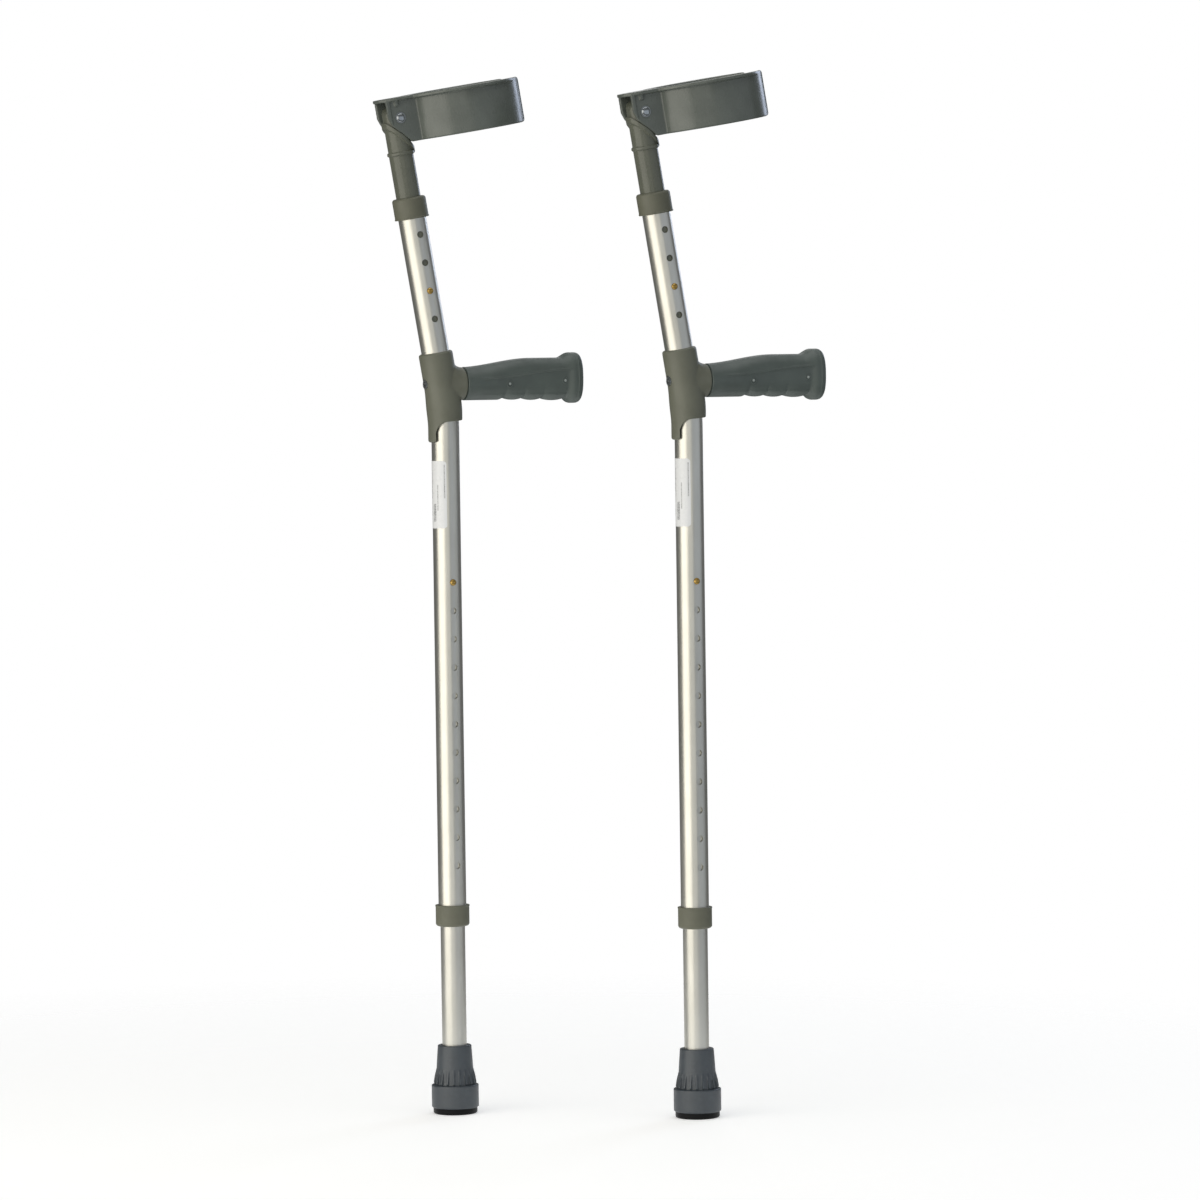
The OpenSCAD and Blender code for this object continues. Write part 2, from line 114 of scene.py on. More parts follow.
def solid(name, points, faces, place=HERE):
    """A mesh object from points in millimetres, set in the frame by place."""
    mesh = bpy.data.meshes.new(name)
    mesh.from_pydata([tuple((place @ Vector(p)) * MM) for p in points], [], faces)
    mesh.validate()
    made = bpy.data.objects.new(name, mesh)
    bpy.context.scene.collection.objects.link(made)
    return made


def rounded(corners, steps=5):
    """A closed outline through (x, y, radius) corners, each turned with an arc of its radius."""
    outline = []
    for i, (x, y, radius) in enumerate(corners):
        here = Vector((x, y))
        back = (Vector(corners[i - 1][:2]) - here).normalized()
        on = (Vector(corners[(i + 1) % len(corners)][:2]) - here).normalized()
        half = back.angle(on) / 2
        if radius == 0 or half > 1.56:
            outline.append((x, y))
            continue
        centre = here + (back + on).normalized() * radius / math.sin(half)
        start = here + back * radius / math.tan(half) - centre
        turn = start.angle_signed(here + on * radius / math.tan(half) - centre)
        for k in range(steps + 1):
            spoke = Matrix.Rotation(-turn * k / steps, 2) @ start
            outline.append(tuple(centre + spoke))
    return outline


def lathe(name, outline, place=HERE, turns=128):
    """Turns a closed outline of (radius, height) points round the Z axis of place."""
    n = len(outline)
    points = []
    for k in range(turns):
        a = 2 * math.pi * k / turns
        points += [(r * math.cos(a), r * math.sin(a), z) for r, z in outline]
    faces = [
        (k * n + i, k * n + (i + 1) % n, (k + 1) % turns * n + (i + 1) % n, (k + 1) % turns * n + i)
        for k in range(turns) for i in range(n)
    ]
    made = solid(name, points, faces, place)
    outward(made, weld=True)
    return made


def loft(name, rings, place=HERE):
    """A closed solid through rings that have the same number of points."""
    n = len(rings[0])
    points = [p for ring in rings for p in ring]
    faces = [
        (k * n + i, k * n + (i + 1) % n, (k + 1) * n + (i + 1) % n, (k + 1) * n + i)
        for k in range(len(rings) - 1) for i in range(n)
    ]
    faces += [tuple(range(n - 1, -1, -1)), tuple((len(rings) - 1) * n + i for i in range(n))]
    made = solid(name, points, faces, place)
    outward(made)
    return made


def prism(name, outline, low, high, place=HERE):
    """A closed outline in the XY plane of place, raised from low to high along its Z."""
    return loft(name, [[(x, y, z) for x, y in outline] for z in (low, high)], place)


def outward(piece, weld=False):
    """Turns the faces outward; weld first joins points that coincide."""
    work = bmesh.new()
    work.from_mesh(piece.data)
    if weld:
        bmesh.ops.remove_doubles(work, verts=work.verts, dist=1e-6)
        bmesh.ops.dissolve_degenerate(work, edges=work.edges, dist=1e-7)
    bmesh.ops.recalc_face_normals(work, faces=work.faces)
    work.to_mesh(piece.data)
    work.free()


def settle(piece):
    """Makes a piece's modifiers part of its mesh."""
    graph = bpy.context.evaluated_depsgraph_get()
    mesh = bpy.data.meshes.new_from_object(piece.evaluated_get(graph))
    piece.modifiers.clear()
    piece.data = mesh
    return piece


def discard(piece):
    """Removes a working shape."""
    bpy.data.objects.remove(piece)


def combine(piece, tools, operation):
    """Cuts a piece with closed tools, or keeps what it shares with them, and discards them."""
    for tool in tools:
        change = piece.modifiers.new("combine", "BOOLEAN")
        change.operation = operation
        change.solver = "EXACT"
        change.object = tool
        settle(piece)
        discard(tool)
    return piece


def join(name, parts):
    """One object that holds the meshes of several."""
    points, faces = [], []
    for part in parts:
        start = len(points)
        points += [v.co / MM for v in part.data.vertices]
        faces += [tuple(start + i for i in polygon.vertices) for polygon in part.data.polygons]
        discard(part)
    return solid(name, points, faces)


def mould(name, parts, grain, passes):
    """Runs closed parts together into one moulded skin, with small fillets where they meet."""
    piece = join(name, parts)
    skin = piece.modifiers.new("skin", "REMESH")
    skin.mode = "VOXEL"
    skin.voxel_size = grain * MM
    soften = piece.modifiers.new("soften", "SMOOTH")
    soften.factor = 0.5
    soften.iterations = passes
    return settle(piece)


# ---- Materials ----


def hex_rgb(code):
    """The linear colour of an sRGB hex code."""
    values = [int(code[i:i + 2], 16) / 255 for i in (1, 3, 5)]
    return tuple(v / 12.92 if v <= 0.04045 else ((v + 0.055) / 1.055) ** 2.4 for v in values) + (1.0,)


def add(tree, kind, inputs=None, **settings):
    """Adds a node; an input is given a value, or linked when it is another node or its socket."""
    made = tree.nodes.new(kind)
    for name, value in settings.items():
        setattr(made, name, value)
    for name, value in (inputs or {}).items():
        if isinstance(value, bpy.types.Node):
            value = value.outputs[0]
        if isinstance(value, bpy.types.NodeSocket):
            tree.links.new(value, made.inputs[name])
        else:
            made.inputs[name].default_value = value
    return made


def new_material(name):
    """An empty material, its node tree and its object coordinates."""
    made = bpy.data.materials.new(name)
    made.use_nodes = True
    tree = made.node_tree
    tree.nodes.clear()
    return made, tree, add(tree, "ShaderNodeTexCoord").outputs["Object"]


def finish_surface(tree, surface):
    """Ends a material with its surface shader."""
    shader = add(tree, "ShaderNodeBsdfPrincipled", surface)
    add(tree, "ShaderNodeOutputMaterial", {"Surface": shader})


def per_mm(size):
    """The scale of a pattern whose features are about size millimetres across."""
    return 1 / (size * MM)


def patches(tree, where, size, detail, low, high, span=(0.3, 0.7), rough=0.5):
    """Soft patches about size millimetres across that run between two values or two hex colours."""
    spread = add(tree, "ShaderNodeTexNoise", {
        "Vector": where, "Scale": per_mm(size), "Detail": detail, "Roughness": rough})
    share = add(tree, "ShaderNodeMapRange", {"Value": spread, "From Min": span[0], "From Max": span[1]})
    colours = isinstance(low, str)
    return add(tree, "ShaderNodeMix", {
        "Factor": share,
        "A": hex_rgb(low) if colours else low,
        "B": hex_rgb(high) if colours else high,
    }, data_type="RGBA" if colours else "FLOAT").outputs["Result"]


def relief(tree, where, size, detail, depth, strength, rough=0.5):
    """A fine relief about size millimetres across and depth millimetres deep."""
    height = add(tree, "ShaderNodeTexNoise", {
        "Vector": where, "Scale": per_mm(size), "Detail": detail, "Roughness": rough})
    return add(tree, "ShaderNodeBump", {"Height": height, "Distance": depth * MM, "Strength": strength})


def satin_anodised_aluminium(name, pale, dark, roughness):
    """Drawn and satin-anodised tube: soft broad reflections with faint lines along its length.

    The lines are about 0.9 mm apart, which is coarser than the real drawing marks, so that they show.
    """
    made, tree, here = new_material(name)
    drawn = add(tree, "ShaderNodeMapping", {"Vector": here, "Scale": (1, 1, 0.02)})
    handled = add(tree, "ShaderNodeMapping", {"Vector": here, "Scale": (1, 1, 0.4)})
    finish_surface(tree, {
        "Base Color": patches(tree, handled, 14, 2.0, dark, pale, (0.2, 0.8)),
        "Metallic": 1.0,
        "Roughness": patches(tree, drawn, 0.9, 4.0, roughness - 0.03, roughness + 0.05, rough=0.6),
        "Normal": relief(tree, drawn, 0.9, 4.0, 0.006, 0.2, rough=0.6),
    })
    return made


def moulded_plastic(name, pale, dark, roughness, grain, grain_depth, ior=1.5):
    """Injection-moulded polymer: an even colour, a spark-eroded grain and slightly cloudy gloss."""
    made, tree, here = new_material(name)
    smeared = add(tree, "ShaderNodeMapping", {"Vector": here, "Scale": (1, 1, 0.5)})
    finish_surface(tree, {
        "Base Color": patches(tree, here, 18, 3.0, dark, pale, (0.25, 0.75)),
        "Roughness": patches(tree, smeared, 7, 3.0, roughness - 0.05, roughness + 0.07),
        "IOR": ior,
        "Normal": relief(tree, here, grain, 2.0, grain_depth, 0.5),
    })
    return made


def soft_pvc(name):
    """Soft-touch PVC: dark slate and waxy, with a leather-like pattern of cells 1.1 mm across."""
    made, tree, here = new_material(name)
    cells = add(tree, "ShaderNodeTexVoronoi", {"Vector": here, "Scale": per_mm(1.1)}, feature="SMOOTH_F1")
    finish_surface(tree, {
        "Base Color": patches(tree, here, 22, 4.0, "#4f5855", "#5a6460", (0.25, 0.75)),
        "Roughness": patches(tree, here, 9, 3.0, 0.4, 0.52),
        "IOR": 1.52,
        "Normal": add(tree, "ShaderNodeBump", {
            "Height": cells.outputs["Distance"], "Distance": 0.05 * MM, "Strength": 0.35}),
    })
    return made


def ferrule_rubber(name, pale, dark, dust, shine):
    """Vulcanised rubber: matt, with a bloom of dust in patches 6 mm across."""
    made, tree, here = new_material(name)
    bloom = {"where": here, "size": 6, "detail": 5.0, "rough": 0.62}
    dusted = add(tree, "ShaderNodeMix", {
        "Factor": patches(tree, **bloom, low=0.0, high=0.35, span=(0.52, 0.75)),
        "A": patches(tree, here, 15, 3.0, dark, pale),
        "B": hex_rgb(dust),
    }, data_type="RGBA")
    finish_surface(tree, {
        "Base Color": dusted.outputs["Result"],
        "Roughness": patches(tree, **bloom, low=0.34, high=0.48),
        "IOR": 1.52,
        "Specular IOR Level": shine,
        "Normal": relief(tree, here, 0.8, 2.0, 0.04, 0.5),
    })
    return made


def turned_brass(name):
    """Turned brass, dulled by handling: a fine broken sheen and a brown tarnish in patches."""
    made, tree, here = new_material(name)
    tarnish = {"where": here, "size": 1.6, "detail": 4.0, "rough": 0.6}
    finish_surface(tree, {
        "Base Color": patches(tree, **tarnish, low="#8f6f35", high="#cfae66", span=(0.3, 0.65)),
        "Metallic": 1.0,
        "Roughness": patches(tree, **tarnish, low=0.42, high=0.25),
        "Normal": relief(tree, here, 0.35, 2.0, 0.01, 0.4),
    })
    return made


def zinc_plate(name, pale, dark, roughness):
    """Zinc plate on steel: a grey mirror with a slight spangle of crystals 1.4 mm across."""
    made, tree, here = new_material(name)
    spangle = add(tree, "ShaderNodeTexVoronoi", {"Vector": here, "Scale": per_mm(1.4)})
    share = add(tree, "ShaderNodeMapRange", {
        "Value": spangle.outputs["Distance"], "From Min": 0.07, "From Max": 0.63})
    crystals = add(tree, "ShaderNodeMix", {
        "Factor": share, "A": hex_rgb(dark), "B": hex_rgb(pale)}, data_type="RGBA")
    finish_surface(tree, {
        "Base Color": crystals.outputs["Result"],
        "Metallic": 1.0,
        "Roughness": patches(tree, here, 1.0, 3.0, roughness - 0.05, roughness + 0.08),
        "Normal": relief(tree, here, 0.5, 2.0, 0.008, 0.4),
    })
    return made


def printed_paper(name):
    """Coated sticker paper with broken grey lines up its length, which stand for its printing."""
    made, tree, here = new_material(name)
    flat = add(tree, "ShaderNodeTexCoord").outputs["UV"]
    split = add(tree, "ShaderNodeSeparateXYZ", {"Vector": flat})
    turned = add(tree, "ShaderNodeCombineXYZ", {"X": split.outputs["Y"], "Y": split.outputs["X"]})
    marks = add(tree, "ShaderNodeTexBrick", {
        "Vector": turned, "Color1": (1, 1, 1, 1), "Color2": (0.55, 0.55, 0.55, 1),
        "Mortar": (0, 0, 0, 1), "Scale": 1.0, "Mortar Size": 0.16, "Mortar Smooth": 0.3,
        "Bias": 0.0, "Brick Width": 1.5, "Row Height": 1.2,
    }, offset=0.4, squash=1.6, squash_frequency=3)
    printed = None
    for left, right, foot, head in PRINTED_LINES:
        inside = None
        for axis, edge, before, after in (
                ("X", left, 0, 1), ("X", right, 1, 0), ("Y", foot, 0, 1), ("Y", head, 1, 0)):
            side = add(tree, "ShaderNodeMapRange", {
                "Value": split.outputs[axis], "From Min": edge, "From Max": edge + INK_EDGE,
                "To Min": before, "To Max": after})
            inside = side if inside is None else add(
                tree, "ShaderNodeMath", {0: inside, 1: side}, operation="MULTIPLY")
        printed = inside if printed is None else add(
            tree, "ShaderNodeMath", {0: printed, 1: inside}, operation="MAXIMUM")
    ink = add(tree, "ShaderNodeMath", {0: printed, 1: marks}, operation="MULTIPLY")
    inked = add(tree, "ShaderNodeMix", {
        "Factor": ink, "A": hex_rgb("#eceef0"), "B": hex_rgb("#6c6e70")}, data_type="RGBA")
    finish_surface(tree, {
        "Base Color": inked.outputs["Result"],
        "Roughness": patches(tree, here, 5, 3.0, 0.24, 0.34),
        "Normal": relief(tree, here, 1.2, 3.0, 0.01, 0.5),
    })
    return made


# Each printed line of the label: its two sides, its foot and its head, in millimetres on the paper
PRINTED_LINES = ((23.6, 24.7, 27, 57), (17.2, 18.3, 16, 39), (12.2, 15.6, 6, 22), (9.0, 10.0, 26, 52))
INK_EDGE = 0.1

MAIN_ALUMINIUM = satin_anodised_aluminium("main_tube_satin_aluminium", "#d9d8d0", "#cccbc3", 0.33)
LEG_ALUMINIUM = satin_anodised_aluminium("leg_tube_satin_aluminium", "#d3d2cb", "#c5c4bc", 0.35)
COLLAR_NYLON = moulded_plastic("collar_olive_nylon", "#6a6b5c", "#5f6052", 0.5, 0.5, 0.03)
BRACKET_NYLON = moulded_plastic("bracket_grey_nylon", "#6f7164", "#65675a", 0.46, 0.6, 0.03)
STEM_NYLON = moulded_plastic("stem_gloss_nylon", "#696c60", "#5e6156", 0.26, 2.5, 0.02)
CUFF_PLASTIC = moulded_plastic("cuff_grey_green_polypropylene", "#656b65", "#5a605a", 0.27, 1.2, 0.015, 1.58)
GRIP_PVC = soft_pvc("grip_slate_pvc")
# The pips are polished, and their pale colour is a painted highlight that stands for their glints
PIP_PAINTED_GLINT_PVC = moulded_plastic("pip_polished_painted_glint_pvc", "#aab2b0", "#8f9795", 0.16, 0.8, 0.01)
FERRULE_RUBBER = ferrule_rubber("ferrule_blue_grey_rubber", "#394147", "#2f363d", "#4e565c", 0.75)
# The sole's near-black is painted shade: the foot's grey rubber underside, darkened as if in shadow
SOLE_PAINTED_SHADE = ferrule_rubber("sole_painted_shade_rubber", "#0c0d0e", "#090a0b", "#131415", 0.15)
BUTTON_BRASS = turned_brass("button_turned_brass")
SPRING_STEEL = zinc_plate("spring_hardened_steel", "#8d9194", "#74787b", 0.35)
ZINC_STEEL = zinc_plate("fastener_zinc_steel", "#9fa3a4", "#85898a", 0.4)
RIVET_STEEL = zinc_plate("rivet_bright_zinc", "#b4b9bc", "#95999c", 0.2)
LABEL_PAPER = printed_paper("label_coated_paper")

# ---- The ferrule ----


def ferrule():
    """The moulded foot: a ribbed cone on a ring, over a set-back sole with two tread grooves, whose faces are
    painted near-black as shade.
    """
    foot = size_mm("left_ferrule")[1].x
    sole = foot - 1.4
    sole_top = 5.5
    bore = STEM_R + 0.12
    groove = 1.3
    body = lathe("ferrule_body", rounded([
        (0, 0, 0), (8, 0, 0.3), (8.2, groove, 0.3), (9.4, groove, 0.3), (9.6, 0, 0.3),
        (13, 0, 0.3), (13.2, groove, 0.3), (14.4, groove, 0.3), (14.6, 0, 0.3),
        (sole, 0, 1.8), (sole, sole_top, 0.3), (foot, 6.2, 0.7), (foot, 26, 0.9), (17.6, 26.4, 0.4),
        (16.6, 40, 8), (15.1, FERRULE_H, 0.9), (bore, FERRULE_H, 0.4), (bore, 10, 0), (0, 10, 0)]), turns=180)
    rib = [(14, 27), (18.7, 27), (19.3, 27.9), (18.4, 33.5), (16.7, 40.2), (14, 40.2)]
    count, half_thick = 20, 0.9
    ribs = []
    for k in range(count):
        turn = Matrix.Rotation(2 * math.pi * (k + 0.5) / count, 4, "Z")
        ribs.append(prism(f"rib_{k}", rib, -half_thick, half_thick, turn @ FACING_OUT))
    piece = mould("ferrule_skin", [body, *ribs], 0.36, 1)
    piece.data.materials.append(FERRULE_RUBBER)
    piece.data.materials.append(SOLE_PAINTED_SHADE)
    # Faces below the sole's top get the near-black painted shade
    for polygon in piece.data.polygons:
        polygon.material_index = 1 if polygon.center.z < sole_top * MM else 0
    return piece


# ---- The tubes' collars, buttons and label ----


def collar(name, place):
    """A moulded collar with a soft lower corner and a thin lip at its open end."""
    height = COLLAR_HIGH.z - COLLAR_LOW.z
    outer, lip = TUBE_R + 2.65, TUBE_R + 2.95
    over_leg, over_tube = STEM_R + 0.28, TUBE_R + 0.06
    return lathe(name, rounded([
        (over_leg, 0, 0.5), (outer, 0, 2.5), (outer, height - 1.5, 0.25), (lip, height - 1.2, 0.25),
        (lip, height, 0.35), (over_tube, height, 0.4), (over_tube, COLLAR_FLOOR, 0.2),
        (over_leg, COLLAR_FLOOR, 0.2)]), place)


def snap_button(name, bore_r, place):
    """A turned snap button: a domed nose over its flange, which seats on the round bore."""
    flange, nose, dome = 3.8, 2.85, 1.6
    face = math.sqrt(bore_r ** 2 - flange ** 2) - 0.05
    outline = rounded([
        (0, face - 0.7, 0), (flange, face - 0.7, 0.15), (flange, face, 0.2), (nose, face, 0.1)])
    outline += [(nose, BUTTON_TIP - dome - 0.15)]
    outline += [(nose * math.cos(a), BUTTON_TIP - dome + dome * math.sin(a))
                for a in (math.pi / 2 * k / 9 for k in range(10))]
    return lathe(name, outline, place @ FACING_OUT, 64)


def label():
    """The sticker round the back of the tube, with rounded corners."""
    low, high = LABEL_LOW.z, LABEL_HIGH.z
    radius = TUBE_R + 0.05
    middle, reach = math.radians(189), math.radians(60)
    corner = 2.5
    across, up = 48, 40
    points, uvs = [], []
    for j in range(up + 1):
        z = low + (high - low) * j / up
        edge = min(z - low, high - z)
        inset = corner - math.sqrt(max(0, corner ** 2 - (corner - edge) ** 2)) if edge < corner else 0
        half = reach - inset / radius
        for i in range(across + 1):
            a = middle + half * (2 * i / across - 1)
            points.append((radius * math.cos(a), radius * math.sin(a), z))
            uvs.append(((a - middle + reach) * radius, z - low))
    row = across + 1
    faces = [(j * row + i, j * row + i + 1, (j + 1) * row + i + 1, (j + 1) * row + i)
             for j in range(up) for i in range(across)]
    piece = solid("label_sheet", points, faces)
    layer = piece.data.uv_layers.new(name="printing")
    for loop in piece.data.loops:
        layer.data[loop.index].uv = uvs[loop.vertex_index]
    thick = piece.modifiers.new("thickness", "SOLIDIFY")
    thick.thickness = 0.1 * MM
    thick.offset = 1.0
    return settle(piece)


# ---- The handle ----

BEND_R = 200.0
BEND_TURN = BEND_R * math.tan(LEAN / 2)
BEND_START = BEND_Z - BEND_TURN
BEND_ARC = BEND_R * LEAN


def tube_axis(s):
    """A point on the main tube's axis, s millimetres along it from the floor, and its lean there."""
    if s <= BEND_START:
        return Vector((0, 0, s)), 0.0
    if s <= BEND_START + BEND_ARC:
        a = (s - BEND_START) / BEND_R
        return Vector((BEND_R * (math.cos(a) - 1), 0, BEND_START + BEND_R * math.sin(a))), a
    return UPPER @ Vector((0, 0, BEND_TURN + s - BEND_START - BEND_ARC)), LEAN


def up_tube(u):
    """The distance along the tube's axis at a height u above the corner of the bend."""
    return BEND_START + BEND_ARC + u - BEND_TURN


def sweep(name, low, high, radius_at, steps, turns=72):
    """A round solid along the main tube's axis, whose radius may change along it."""
    rings = []
    for k in range(steps + 1):
        s = low + (high - low) * k / steps
        centre, lean = tube_axis(s)
        tilt = Matrix.Rotation(-lean, 3, "Y")
        rings.append([centre + tilt @ Vector((
            radius_at(s) * math.cos(2 * math.pi * i / turns),
            radius_at(s) * math.sin(2 * math.pi * i / turns), 0)) for i in range(turns)])
    return loft(name, rings)


def bracket():
    """The moulded sleeve with its neck, tongue and screw recess, and the spigot in the grip."""
    low, high = BEND_Z - 31, up_tube(50.7)
    sleeve_r = TUBE_R + 2.85
    corner_r = 2.2

    def radius(s):
        end = min(s - low, high - s)
        corner = corner_r - math.sqrt(max(0, corner_r ** 2 - (corner_r - end) ** 2)) if end < corner_r else 0
        return sleeve_r + 0.75 * hump(s, BEND_Z + 1, 40) - corner

    sleeve = sweep("sleeve", low, high, radius, 120)
    tongue_front = 1.2 - sleeve_r * math.sin(math.radians(61))
    body_foot, tongue_foot = BEND_Z - 8, BEND_Z - 13
    cut = rounded([
        (tongue_front, -200, 0), (60, -200, 0), (60, body_foot, 0), (tongue_front, tongue_foot, 10)], 12)
    combine(sleeve, [prism("front_cut", cut, -60, 60, FACING_OUT)], "DIFFERENCE")

    reach, steps = 17.1, 24
    rings = []
    for k in range(steps + 1):
        x = -2 + (reach + 2) * k / steps
        flare = 5.5 * (1 - min(1, max(0, (x - 6) / (reach - 6)))) ** 2.4
        corner = 0.5 if k == steps else 0.0
        wide, tall = 14.6 - corner, 14.8 + flare - corner
        rings.append([(x, wide * math.cos(a), HANDLE_Z + tall * math.sin(a))
                      for a in (2 * math.pi * i / 96 for i in range(96))])
    piece = mould("bracket_skin", [sleeve, loft("neck", rings)], 0.55, 10)

    bore = sweep("bore", low - 5, high + 5, lambda s: TUBE_R + 0.04, 90, 128)
    facing_back = Matrix.Translation((0, 0, HANDLE_Z)) @ Matrix.Rotation(-math.pi / 2, 4, "Y")
    recess = lathe("recess", [(0, 8), (4.6, 8), (4.6, 30), (0, 30)], facing_back, 48)
    combine(piece, [bore, recess], "DIFFERENCE")
    tip = reach + SPIGOT_LENGTH
    spigot = lathe("spigot", rounded([
        (0, reach - 1, 0), (SPIGOT_R, reach - 1, 0), (SPIGOT_R, tip, 1), (0, tip, 0)]), ALONG_HANDLE, 64)
    return join("bracket_and_spigot", [piece, spigot])


def grip():
    """The soft grip: a palm swell on top, finger grooves below and a flared, rounded end."""
    start = GRIP_LOW.x
    length = GRIP_HIGH.x - start
    neck_r = 14.9
    notches = (38.6, 56.8, 75.5, 97.8)
    notch = 2.3
    panel_depth = 0.55
    end_r = 4.5
    turns = 192
    step = 0.75

    def top(x):
        return neck_r + 7.6 * ease(x, -4, 66) + 4.6 * ease(x, length - 21, length - 9)

    def bottom(x):
        depth = notch * ease(x, 30, 40)
        level = -neck_r - 1.2 * ease(x, 36, 100)
        for a, b in zip(notches, notches[1:]):
            if a <= x <= b:
                return level + depth * (1 - math.sin(math.pi * (x - a) / (b - a)) ** 0.6)
        if x < notches[0]:
            return level + depth * hump(x, notches[0], 14)
        return level + notch * hump(x, notches[-1], 10) - 2.6 * ease(x, notches[-1], length - 8)

    def half(x):
        rim = 0.35 * hump(x, length - 5.2, 1.8)
        return 14.7 - 0.5 * hump(x, 62, 90) + 1.6 * ease(x, length - 17, length - 8) + rim

    def ring(x, inset):
        mid, tall = (top(x) + bottom(x)) / 2, (top(x) - bottom(x)) / 2
        square = 1.0 - 0.22 * ease(x, 10, 50)
        line_z = 4.5 + 7.5 * ease(x, 12, length - 10)
        seen = ease(x, 8, 20) * (1 - ease(x, length - 15, length - 10))
        out = []
        for i in range(turns):
            a = 2 * math.pi * i / turns
            c, s = math.cos(a), math.sin(a)
            y = (half(x) - inset) * math.copysign(abs(c) ** square, c)
            z = mid + (tall - inset) * math.copysign(abs(s) ** square, s)
            side = ease(abs(c), 0.45, 0.8)
            ridge = math.exp(-(((z - line_z) / 0.75) ** 2)) * 0.45
            panel = -panel_depth * ease(line_z - z, 0.4, 1.6) * ease(z + 11, 0, 2.5)
            y += math.copysign(1.0, c) * side * seen * (ridge + panel)
            out.append((x + start, y, HANDLE_Z + z))
        return out

    lip = 0.6
    rings = [ring(0, 0.8), ring(0.15, 0.35), ring(lip, 0)]
    count = int((length - end_r) / step)
    rings += [ring(lip + (length - end_r - lip) * k / count, 0) for k in range(1, count + 1)]
    for k in range(1, 9):
        a = math.pi / 2 * k / 8
        rings.append(ring(length - end_r + end_r * math.sin(a), end_r * (1 - math.cos(a))))
    rings.append(ring(length - 0.5, end_r + 1.2))
    rings.append(ring(length - 0.5, end_r + 6))
    piece = loft("grip_skin", rings)
    bore_r, bore_end = SPIGOT_R + 0.1, SPIGOT_LENGTH + 0.5
    bore = lathe("grip_bore", [(0, -5), (bore_r, -5), (bore_r, bore_end), (0, bore_end)],
                 ALONG_HANDLE @ Matrix.Translation((0, 0, start)), 64)
    combine(piece, [bore], "DIFFERENCE")

    rims, pips = [], []
    for side in (1, -1):
        for x, z in ((40.6, -0.6), (95.2, 1.7)):
            seat = half(x) - panel_depth
            root = seat - 1.5
            middle = Matrix.Translation((start + x, 0, HANDLE_Z + z))
            place = middle @ Matrix.Rotation(side * math.pi / 2, 4, "X")
            pips.append(lathe("pip", rounded([
                (0, root, 0), (1.2, root, 0), (1.2, seat + 0.7, 0.6), (0, seat + 0.75, 0)], 4), place, 32))
            rims.append(lathe("pip_rim", rounded([
                (2.5, root, 0), (3.3, root, 0), (3.3, seat + 0.25, 0.3), (2.5, seat + 0.25, 0.3)]),
                place, 48))
    soft_faces = sum(len(part.data.polygons) for part in (piece, *rims))
    whole = join("grip_and_pips", [piece, *rims, *pips])
    whole.data.materials.append(GRIP_PVC)
    whole.data.materials.append(PIP_PAINTED_GLINT_PVC)
    # The pips' faces take the polished material, whose pale colour is a painted highlight
    for polygon in whole.data.polygons:
        polygon.material_index = 1 if polygon.index >= soft_faces else 0
    return whole


# ---- The cuff and its stem ----

CHEEK_IN, CHEEK_OUT = 10.5, 13.0
BAND_UP, BAND_DOWN = 18.3, -22.7
BAND_HALF = 1.5
ROOF_Z = BAND_UP - 3
LEDGE = 10.6
RING_X, RING_A, RING_B = 67.5, 50.5, 44.5
OPENING = math.radians(24)
FLARE_R = 4.2
FLARE_TURN = math.radians(66)
FLARE_STEPS = 12
FLARE_STEP = FLARE_R * FLARE_TURN / FLARE_STEPS
TIP_CORNER = 3.0


def ring_point(a):
    """A point of the cuff's ring in plan, and its outward direction."""
    out = Vector((math.cos(a) / RING_A, math.sin(a) / RING_B)).normalized()
    return Vector((RING_X + RING_A * math.cos(a), RING_B * math.sin(a))), out


def cuff_path():
    """Points along the cuff's band from tip to tip, each with its outward direction and share of the lip."""
    path = []
    steps = 96
    for k in range(steps + 1):
        a = OPENING + (2 * math.pi - 2 * OPENING) * k / steps
        point, out = ring_point(a)
        from_tip = math.degrees(min(a, 2 * math.pi - a) - OPENING)
        path.append((point, out, ease(from_tip, 3, 55)))
    tip, out = ring_point(OPENING)
    ahead = Vector((out.y, -out.x))
    centre = tip + out * FLARE_R
    flare = []
    for k in range(1, FLARE_STEPS + 1):
        f = FLARE_TURN * k / FLARE_STEPS
        flare.append((centre + FLARE_R * (ahead * math.sin(f) - out * math.cos(f)),
                      out * math.cos(f) - ahead * math.sin(f), 0.0))
    mirrored = [(Vector((p.x, -p.y)), Vector((o.x, -o.y)), lip) for p, o, lip in flare]
    return flare[::-1] + path + mirrored


def band():
    """The cuff's band and its outward lip, rounded at every edge and at the tips' corners."""
    path = cuff_path()
    wall, lip = [], []
    for k, (point, out, share) in enumerate(path):
        from_end = min(k, len(path) - 1 - k)
        side = BAND_HALF * (0.45, 0.75, 0.92, 1.0)[min(from_end, 3)]
        inner, wide = -side * 0.5, side - 0.6 + 4.9 * share
        to_corner = max(0.0, TIP_CORNER - from_end * FLARE_STEP)
        trim = TIP_CORNER - math.sqrt(TIP_CORNER ** 2 - to_corner ** 2)
        low, high = BAND_DOWN + trim, BAND_UP - trim
        turn = side * 0.7
        wall.append((point, out, rounded([
            (-side, low, turn), (side, low, turn), (side, high, turn), (-side, high, turn)], 4)))
        lip.append((point, out, rounded([
            (inner, ROOF_Z, 0.25), (wide, ROOF_Z, 0.4), (wide, BAND_UP, 0.8), (inner, BAND_UP, 0.25)], 4)))
    return [
        loft(name, [[(p.x + o.x * off, p.y + o.y * off, z) for off, z in outline]
                    for p, o, outline in rings], AT_PIVOT)
        for name, rings in (("wall", wall), ("lip", lip[6:-6]))]


